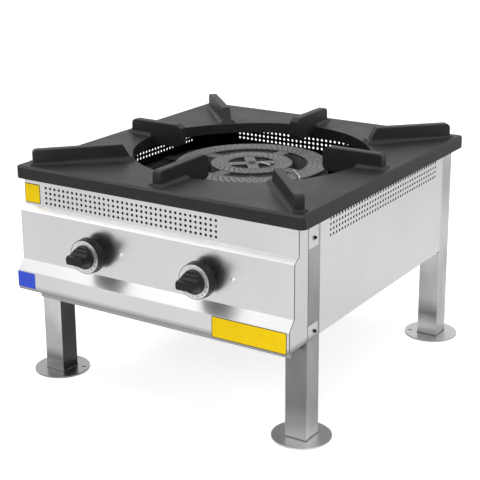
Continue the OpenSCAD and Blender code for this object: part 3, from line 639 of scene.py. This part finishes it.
def joined(parts):
    """One bmesh from several, which it frees."""
    out = bmesh.new()
    for part in parts:
        scratch = bpy.data.meshes.new("scratch")
        part.to_mesh(scratch)
        part.free()
        out.from_mesh(scratch)
        bpy.data.meshes.remove(scratch)
    return out


def facing(place, direction, turn=0.0):
    """Matrix that puts a shape drawn along +Z at a place, pointing in a direction."""
    aim = Vector(direction).to_track_quat("Z", "Y").to_matrix().to_4x4()
    return Matrix.Translation(place) @ aim @ Matrix.Rotation(turn, 4, "Z")


def bevel(bm, edges, width, segments=1):
    """Cut a bevel along some edges."""
    bmesh.ops.bevel(bm, geom=edges, offset=width, offset_type="OFFSET", segments=segments, profile=0.5,
                    affect="EDGES", material=-1)


def top_edges(bm):
    """The edges of the faces that look up."""
    return [edge for edge in bm.edges if any(face.normal.z > 0.9 for face in edge.link_faces)]


def end_edges(bm):
    """The edges of the faces that look up or down."""
    return [edge for edge in bm.edges if any(abs(face.normal.z) > 0.9 for face in edge.link_faces)]


def revolved(profile):
    """A bmesh turned round Z from (radius, height) points."""
    bm = bmesh.new()
    points = [bm.verts.new((r, 0, z)) for r, z in profile]
    edges = [bm.edges.new(pair) for pair in zip(points, points[1:])]
    bmesh.ops.spin(bm, geom=points + edges, cent=(0, 0, 0), axis=UPWARDS, angle=math.tau,
                   steps=ROUND_STEPS, use_merge=True, use_duplicate=False)
    bmesh.ops.remove_doubles(bm, verts=bm.verts, dist=MERGE_DISTANCE)
    bmesh.ops.recalc_face_normals(bm, faces=bm.faces)
    return bm


def hexagon(across, h):
    """A hexagonal bar about the origin, measured over its corners."""
    bm = bmesh.new()
    bmesh.ops.create_cone(bm, cap_ends=True, segments=6, radius1=across / 2, radius2=across / 2, depth=h)
    return bm


def slab(width, height, t, radius, corner_steps, chamfer):
    """A flat slab about the origin with round corners and a chamfer round its upper face."""
    bm = bmesh.new()
    bmesh.ops.create_cube(bm, size=1.0, matrix=Matrix.Diagonal((width, height, t, 1.0)))
    upright = [edge for edge in bm.edges if abs(edge.verts[0].co.z - edge.verts[1].co.z) > t / 2]
    bevel(bm, upright, radius, corner_steps)
    bevel(bm, top_edges(bm), chamfer)
    return bm


def ribbon(line, width, height):
    """A thin strip along a line of (y, z) points in the plane x = 0, raised by height along X."""
    bm = bmesh.new()
    points = [bm.verts.new((0, y, z)) for y, z in line]
    edges = [bm.edges.new(pair) for pair in zip(points, points[1:])]
    strip = bmesh.ops.extrude_edge_only(bm, edges=edges)["geom"]
    far_edge = [item for item in strip if isinstance(item, bmesh.types.BMVert)]
    bmesh.ops.translate(bm, verts=far_edge, vec=(0, width, 0))
    raised = bmesh.ops.extrude_face_region(bm, geom=bm.faces[:])["geom"]
    top = [item for item in raised if isinstance(item, bmesh.types.BMVert)]
    bmesh.ops.translate(bm, verts=top, vec=(height, 0, 0))
    bmesh.ops.recalc_face_normals(bm, faces=bm.faces)
    return bm


def tube(points, d):
    """A round tube through points, smoothed between them, with closed ends."""
    curve = bpy.data.curves.new("tube", "CURVE")
    curve.dimensions = "3D"
    curve.bevel_depth = d / 2
    curve.bevel_resolution = 3
    curve.resolution_u = 10
    curve.use_fill_caps = True
    spline = curve.splines.new("BEZIER")
    spline.bezier_points.add(len(points) - 1)
    for knot, place in zip(spline.bezier_points, points):
        knot.co = place
        knot.handle_left_type = "AUTO"
        knot.handle_right_type = "AUTO"
    holder = bpy.data.objects.new("tube", curve)
    mesh = bpy.data.meshes.new_from_object(holder)
    bm = bmesh.new()
    bm.from_mesh(mesh)
    bpy.data.meshes.remove(mesh)
    bpy.data.objects.remove(holder)
    bpy.data.curves.remove(curve)
    bmesh.ops.remove_doubles(bm, verts=bm.verts, dist=MERGE_DISTANCE)
    bmesh.ops.recalc_face_normals(bm, faces=bm.faces)
    return bm


def add_piece(name, bm, finish, body, smooth=True):
    """A finished piece at the origin, with its place in its mesh, riding on a body."""
    mesh = bpy.data.meshes.new(name)
    bm.to_mesh(mesh)
    bm.free()
    for face in mesh.polygons:
        face.use_smooth = smooth
    mesh.materials.append(bpy.data.materials[finish])
    piece = bpy.data.objects.new(name, mesh)
    bpy.context.scene.collection.objects.link(piece)
    if smooth:
        piece.modifiers.new("sharp_edges", "EDGE_SPLIT").split_angle = SMOOTH_ANGLE
    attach(piece, body)


# Small parts by shape


def screw_head(d, h):
    """A domed head with a hexagon socket."""
    dome = [(0, h), (d * 0.22, h * 0.97), (d * 0.38, h * 0.72), (d * 0.47, h * 0.35), (d * 0.5, 0), (0, 0)]
    socket = moved(hexagon(d * 0.4, h * 0.1), Matrix.Translation((0, 0, h * 0.98)))
    return joined([revolved(dome), socket])


def hex_head(across, h):
    """A hexagon head with chamfered corners on a washer."""
    head = hexagon(across, h)
    bevel(head, top_edges(head), h * 0.12)
    head.transform(Matrix.Translation((0, 0, h * 0.75)))
    washer = revolved([(0, h * 0.25), (across * 0.62, h * 0.25), (across * 0.66, 0), (0, 0)])
    return joined([head, washer])


def union_nut(across):
    """A hexagon nut with both ends chamfered, drawn about the origin."""
    h = across * 0.55
    nut = hexagon(across, h)
    bevel(nut, end_edges(nut), h * 0.1, segments=2)
    return nut


def weld_line(start, end, d):
    """A row of flat beads of slightly uneven width, each half over the next."""
    start, end = Vector(start), Vector(end)
    flatness = 0.7
    unevenness = 0.1
    count = max(2, round((end - start).length / (d / 2)))
    beads = []
    for i in range(count + 1):
        bead = bmesh.new()
        bmesh.ops.create_icosphere(bead, subdivisions=2, radius=d / 2)
        width = 1 + unevenness * math.sin(i * 2.3)
        place = Matrix.Translation(start.lerp(end, i / count))
        beads.append(moved(bead, place @ Matrix.Diagonal((width, width, flatness, 1))))
    return joined(beads)


def blank_plate(place, width, height, t):
    """A plate that lies on a face which looks forwards, with its middle at a place on that face."""
    plate = slab(width, height, t, radius=0.001, corner_steps=6, chamfer=t * 0.4)
    return moved(plate, facing(Vector(place) + Vector(FORWARDS) * t / 2, FORWARDS))


def dial_mark(place, angle, width, t):
    """A round-cornered mark that lies on a dial's face, turned with its place on the ring."""
    mark = slab(width, width, t, radius=0.0008, corner_steps=3, chamfer=t / 4)
    return moved(mark, facing(place + Vector(FORWARDS) * t / 2, FORWARDS, angle))


def thread(radius, depth, pitch, length):
    """A helical ridge round Z that rises by its length."""
    turns = length / pitch
    root = radius - depth
    half_foot = pitch * 0.4
    bm = bmesh.new()
    ridge = ((root, 0, -half_foot), (radius, 0, 0), (root, 0, half_foot))
    points = [bm.verts.new(place) for place in ridge]
    edges = [bm.edges.new(pair) for pair in zip(points, points[1:] + points[:1])]
    bmesh.ops.spin(bm, geom=points + edges, cent=(0, 0, 0), axis=UPWARDS, dvec=(0, 0, pitch / THREAD_STEPS),
                   angle=math.tau * turns, steps=round(turns * THREAD_STEPS), use_merge=False,
                   use_duplicate=False)
    ends = [edge for edge in bm.edges if edge.is_boundary]
    bmesh.ops.holes_fill(bm, edges=ends, sides=3)
    bmesh.ops.recalc_face_normals(bm, faces=bm.faces)
    return bm


# Operators


class RANGE_OT_finishes(bpy.types.Operator):
    """Make the materials and put them on the solid parts"""

    bl_idname = "stock_range.finishes"
    bl_label = "Finishes"

    def execute(self, context):
        finish = context.scene.range_finish
        make_steel(finish)
        make_castings(finish)
        make_trim(finish)
        for name, nodes in NODE_FINISHES.items():
            for node in nodes:
                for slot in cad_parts[node].material_slots:
                    slot.material = bpy.data.materials[name]
        return {"FINISHED"}


class RANGE_OT_lug_screws(bpy.types.Operator):
    """Put the black screws through the front panel's lugs"""

    bl_idname = "stock_range.lug_screws"
    bl_label = "Lug screws"

    def execute(self, context):
        detail = context.scene.range_detail
        a, b = low("front_panel"), high("front_panel")
        y = middle("leg_front_right").y
        heads = []
        for x, outwards in ((a.x, LEFTWARDS), (b.x, RIGHTWARDS)):
            for place in ((x, y, b.z - TOP_SCREW_DROP), (x, y + LOW_SCREW_BACK, a.z + LOW_SCREW_RISE)):
                heads.append(moved(screw_head(detail.screw_d, detail.screw_h), facing(place, outwards)))
        add_piece("lug_screws", joined(heads), "black_screw", "stand")
        return {"FINISHED"}


class RANGE_OT_welds(bpy.types.Operator):
    """Run the weld beads round the feet of the legs"""

    bl_idname = "stock_range.welds"
    bl_label = "Leg welds"

    def execute(self, context):
        d = context.scene.range_detail.weld_d
        rise = d * 0.15
        for corner in CORNERS:
            a, b = low("leg_" + corner), high("leg_" + corner)
            z = a.z + rise
            ring = [(a.x, a.y, z), (b.x, a.y, z), (b.x, b.y, z), (a.x, b.y, z)]
            lines = [weld_line(start, end, d) for start, end in zip(ring, ring[1:] + ring[:1])]
            add_piece("weld_" + corner, joined(lines), "zinc", "stand")
        return {"FINISHED"}


class RANGE_OT_plates(bpy.types.Operator):
    """Put the blank plates on the front panel"""

    bl_idname = "stock_range.plates"
    bl_label = "Blank plates"

    def execute(self, context):
        t = context.scene.range_detail.plate_t
        border = t * 3
        lower_strip = low("front_panel").y
        top_strip = lower_strip + TOP_STRIP_BACK
        # Name, finish, middle on the panel's face, width and height
        plates = (
            ("plate_blue", "blue", (-0.263, lower_strip, 0.2), 0.04, 0.029),
            ("plate_yellow", "yellow", (0.207, lower_strip, 0.1978), 0.139, 0.0345),
            ("plate_square", "yellow", (-0.2635, top_strip, 0.3545), 0.033, 0.033),
        )
        for name, finish, place, width, height in plates:
            add_piece(name, blank_plate(place, width, height, t), finish, "stand", smooth=False)
            if finish == "yellow":
                dark = blank_plate(place, width + border * 2, height + border * 2, t / 2)
                add_piece(name + "_border", dark, "mark", "stand", smooth=False)
        return {"FINISHED"}


class RANGE_OT_end_seam_shade(bpy.types.Operator):
    """Draw fine dark lines of painted shade in the joints at the front panel's end flanges and at the roots
    of their lugs
    """

    bl_idname = "stock_range.end_seams"
    bl_label = "End seams"

    def execute(self, context):
        width = context.scene.range_detail.seam_w
        a, b = low("front_panel"), high("front_panel")
        top, bottom = b.z - SEAM_END_GAP, a.z + SEAM_END_GAP
        strip = a.y + TOP_STRIP_BACK + width
        knob = a.y + KNOB_PANEL_BACK + width
        nose = a.y + width
        strip_z = b.z - TOP_STRIP_H
        nose_z = a.z + LOWER_STRIP_H
        end_line = [(strip, top), (strip, strip_z), (knob, strip_z - UPPER_SLOPE_H),
                    (knob, nose_z + LOWER_SLOPE_H), (nose, nose_z), (nose, bottom)]
        root = low("leg_front_left").y - width / 2
        lug_line = [(root, top), (root, bottom)]
        seams = []
        for x, out in ((a.x, -1), (b.x, 1)):
            for line, w in ((end_line, width), (lug_line, width / 2)):
                # Dark ribbons of painted shade in the joints
                seams.append(moved(ribbon(line, w, width * 0.2 * out), Matrix.Translation((x, 0, 0))))
        add_piece("end_seam_shade", joined(seams), "seam_shade", "stand", smooth=False)
        return {"FINISHED"}


class RANGE_OT_dial_marks(bpy.types.Operator):
    """Print the marks on the dial rings"""

    bl_idname = "stock_range.dial_marks"
    bl_label = "Dial marks"

    def execute(self, context):
        first_angle = -8
        angle_step = -22
        first_width = 0.0026
        width_step = -0.0003
        t = 0.0002
        for side in SIDES:
            dial = "dial_" + side
            radius = (high(dial).x - low(dial).x) / 2 - MARK_INSET
            centre = Vector((middle(dial).x, low(dial).y, middle(dial).z))
            marks = []
            for i in range(context.scene.range_detail.mark_count):
                angle = math.radians(first_angle + angle_step * i)
                place = centre + radius * Vector((math.cos(angle), 0, math.sin(angle)))
                marks.append(dial_mark(place, angle, first_width + width_step * i, t))
            add_piece("dial_marks_" + side, joined(marks), "mark", "knob_" + side, smooth=False)
        return {"FINISHED"}


class RANGE_OT_hub_bolt(bpy.types.Operator):
    """Put the bolt on the burner's hub"""

    bl_idname = "stock_range.hub_bolt"
    bl_label = "Hub bolt"

    def execute(self, context):
        d = context.scene.range_detail.bolt_d
        hub = (middle("burner_casting").x, middle("outer_port_cap").y, high("burner_casting").z)
        bolt = moved(hex_head(d, d * 0.22), facing(hub, UPWARDS, turn=0.4))
        add_piece("hub_bolt", bolt, "burner", "stand")
        return {"FINISHED"}


class RANGE_OT_union_nuts(bpy.types.Operator):
    """Put the nuts on the ends of the feed pipes"""

    bl_idname = "stock_range.union_nuts"
    bl_label = "Union nuts"

    def execute(self, context):
        d = context.scene.range_detail.nut_d
        drop = d * 0.05
        reach = d * 0.27
        for side in SIDES:
            pipe, injector = low("feed_pipe_" + side), middle("injector_" + side)
            tap_end = (middle("tap_" + side).x, pipe.y + FEED_PIPE_R, pipe.z - drop)
            injector_end = (injector.x, low("injector_" + side).y - reach, injector.z)
            nuts = [moved(union_nut(d), Matrix.Translation(tap_end)),
                    moved(union_nut(d), facing(injector_end, BACKWARDS))]
            add_piece("union_nuts_" + side, joined(nuts), "turned_brass", "stand")
        return {"FINISHED"}


class RANGE_OT_capillaries(bpy.types.Operator):
    """Run the fine tubes from the thermocouples to the taps"""

    bl_idname = "stock_range.capillaries"
    bl_label = "Capillary tubes"

    def execute(self, context):
        d = context.scene.range_detail.capillary_d
        a, b = low("thermocouple_outer"), high("thermocouple_outer")
        outer = Vector((b.x - SHEATH_R, a.y + SHEATH_R, a.z))
        a, b = low("thermocouple_inner"), high("thermocouple_inner")
        inner = Vector((a.x + SHEATH_R, b.y - SHEATH_R, a.z))
        for name, start, side, out in (("outer", outer, "left", -1), ("inner", inner, "right", 1)):
            add_piece("capillary_" + name, tube(self.route(start, side, out), d), "copper", "stand")
        return {"FINISHED"}

    def route(self, start, side, out):
        """From a sheath's lower end, under the front burner bar, to the inner side of a tap.

        Out is -1 on the left and 1 on the right."""
        tap, tap_back = middle("tap_" + side), high("tap_" + side).y
        bar_y, level = middle("burner_bar_front").y, low("burner_bar_front").z - 0.008
        end = Vector((tap.x - out * 0.0125, tap_back - 0.012, tap.z))
        return [
            start + Vector((0, 0, 0.003)),
            start + Vector((0, 0, -0.008)),
            Vector((start.x - 0.006, start.y - 0.02, level + 0.006)),
            Vector((start.x * 0.6 + end.x * 0.4, bar_y, level)),
            Vector((start.x * 0.25 + end.x * 0.75, bar_y - 0.08, level - 0.002)),
            Vector((end.x - out * 0.012, tap_back + 0.02, level - 0.004)),
            Vector((end.x - out * 0.016, end.y, tap.z + 0.006)),
            end,
        ]


class RANGE_OT_inlet_thread(bpy.types.Operator):
    """Cut the thread on the gas inlet"""

    bl_idname = "stock_range.inlet_thread"
    bl_label = "Inlet thread"

    def execute(self, context):
        detail = context.scene.range_detail
        centre = middle("gas_inlet")
        start = high("back_panel").y + THREAD_START_GAP
        length = high("gas_inlet").y - start - THREAD_END_GAP
        ridge = thread(INLET_R + detail.thread_depth / 2, detail.thread_depth, detail.thread_pitch, length)
        ridge.transform(facing((centre.x, start, centre.z), BACKWARDS))
        add_piece("inlet_thread", ridge, "turned_brass", "stand")
        return {"FINISHED"}


class RANGE_OT_stage(bpy.types.Operator):
    """Set the floor, the light and the camera"""

    bl_idname = "stock_range.stage"
    bl_label = "Stage"

    def execute(self, context):
        context.scene.view_settings.view_transform = "Standard"
        self.floor()
        self.world(context.scene)
        self.lamps()
        self.camera(context.scene)
        return {"FINISHED"}

    def floor(self):
        """A pale floor that glows a little, for the camera and in metal and glass."""
        bm = bmesh.new()
        bmesh.ops.create_grid(bm, x_segments=2, y_segments=2, size=FLOOR_HALF)
        mesh = bpy.data.meshes.new("floor")
        bm.to_mesh(mesh)
        bm.free()
        floor = bpy.data.objects.new("floor", mesh)
        bpy.context.scene.collection.objects.link(floor)
        look = Surface("floor")
        look.set(Base_Color=(0.93, 0.93, 0.93), Roughness=0.9, Specular_IOR_Level=0.1)
        seen = look.node("ShaderNodeLightPath").outputs
        direct = look.compute("MULTIPLY", seen["Is Camera Ray"], FLOOR_GLOW)
        bounced = look.compute("MAXIMUM", seen["Is Glossy Ray"], seen["Is Transmission Ray"])
        mirrored = look.compute("MULTIPLY", bounced, FLOOR_GLOW_MIRRORED)
        glow = look.node("ShaderNodeEmission")
        look.feed(look.compute("ADD", direct, mirrored), glow.inputs["Strength"])
        together = look.node("ShaderNodeAddShader")
        look.feed(look.shader.outputs["BSDF"], together.inputs[0])
        look.feed(glow.outputs[0], together.inputs[1])
        look.feed(together.outputs[0], look.output.inputs["Surface"])
        mesh.materials.append(look.material)

    def world(self, scene):
        """White for the camera and in metal and glass, and a soft light for the rest."""
        world = bpy.data.worlds.new("studio")
        world.use_nodes = True
        nodes = Nodes(world.node_tree)
        seen = nodes.node("ShaderNodeLightPath").outputs
        shown = nodes.compute("MAXIMUM", seen["Is Camera Ray"], seen["Is Glossy Ray"])
        shown = nodes.compute("MAXIMUM", shown, seen["Is Transmission Ray"])
        background = nodes.node("ShaderNodeBackground")
        nodes.feed((1, 1, 1), background.inputs["Color"])
        nodes.feed(nodes.spread(shown, 0.0, 1.0, WORLD_LIGHT, 1.0), background.inputs["Strength"])
        output = nodes.node("ShaderNodeOutputWorld")
        nodes.feed(background.outputs[0], output.inputs["Surface"])
        scene.world = world

    def lamps(self):
        """Square lamps aimed at the body: name, place, width in metres and power in watts."""
        lamps = (
            ("key_lamp", (-1.6, -0.6, 2.8), 1.6, 26.0),
            ("top_lamp", (0.4, 0.5, 2.9), 1.6, 14.0),
            ("front_lamp", (0.9, -2.7, 1.5), 1.6, 22.0),
            ("right_lamp", (2.6, 0.2, 1.6), 1.4, 13.0),
        )
        aim = Vector((0, 0, 0.3))
        for name, place, width, power in lamps:
            data = bpy.data.lights.new(name, "AREA")
            data.size = width
            data.energy = power
            lamp = bpy.data.objects.new(name, data)
            lamp.matrix_world = facing(place, Vector(place) - aim)
            bpy.context.scene.collection.objects.link(lamp)

    def camera(self, scene):
        """The photograph's camera."""
        data = bpy.data.cameras.new("photo_camera")
        data.sensor_width = SENSOR_MM
        data.lens = PHOTO_FOCAL_PX / FRAME_PX * SENSOR_MM
        data.shift_x = (FRAME_PX / 2 - PHOTO_CENTRE_PX[0]) / FRAME_PX
        data.shift_y = (PHOTO_CENTRE_PX[1] - FRAME_PX / 2) / FRAME_PX
        camera = bpy.data.objects.new("photo_camera", data)
        turn = Matrix.Rotation(math.radians(CAMERA_TURN), 4, "Z")
        pitch = Matrix.Rotation(math.radians(90 - CAMERA_PITCH), 4, "X")
        roll = Matrix.Rotation(math.radians(CAMERA_ROLL), 4, "Z")
        camera.matrix_world = Matrix.Translation(CAMERA_PLACE) @ turn @ pitch @ roll
        scene.collection.objects.link(camera)
        scene.camera = camera


OPERATORS = (
    RANGE_OT_finishes,
    RANGE_OT_lug_screws,
    RANGE_OT_welds,
    RANGE_OT_plates,
    RANGE_OT_end_seam_shade,
    RANGE_OT_dial_marks,
    RANGE_OT_hub_bolt,
    RANGE_OT_union_nuts,
    RANGE_OT_capillaries,
    RANGE_OT_inlet_thread,
    RANGE_OT_stage,
)


class RANGE_PT_panel(bpy.types.Panel):
    """Sizes, colours and pieces of the range"""

    bl_idname = "RANGE_PT_panel"
    bl_label = "Stock pot range"
    bl_space_type = "VIEW_3D"
    bl_region_type = "UI"
    bl_category = "Range"

    def draw(self, context):
        column = self.layout.column(align=True)
        for group in (context.scene.range_finish, context.scene.range_detail):
            for name in group.__annotations__:
                column.prop(group, name)
        for operator in OPERATORS:
            column.operator(operator.bl_idname)


CLASSES = (RangeFinish, RangeDetail, *OPERATORS, RANGE_PT_panel)


def register():
    """Add the properties, the operators and the panel."""
    for cls in CLASSES:
        bpy.utils.register_class(cls)
    bpy.types.Scene.range_finish = PointerProperty(type=RangeFinish)
    bpy.types.Scene.range_detail = PointerProperty(type=RangeDetail)


def unregister():
    """Take them away again."""
    del bpy.types.Scene.range_detail
    del bpy.types.Scene.range_finish
    for cls in reversed(CLASSES):
        bpy.utils.unregister_class(cls)


def main():
    """Dress the range."""
    register()
    for operator in OPERATORS:
        group, name = operator.bl_idname.split(".")
        getattr(getattr(bpy.ops, group), name)()


if __name__ == "__main__":
    main()
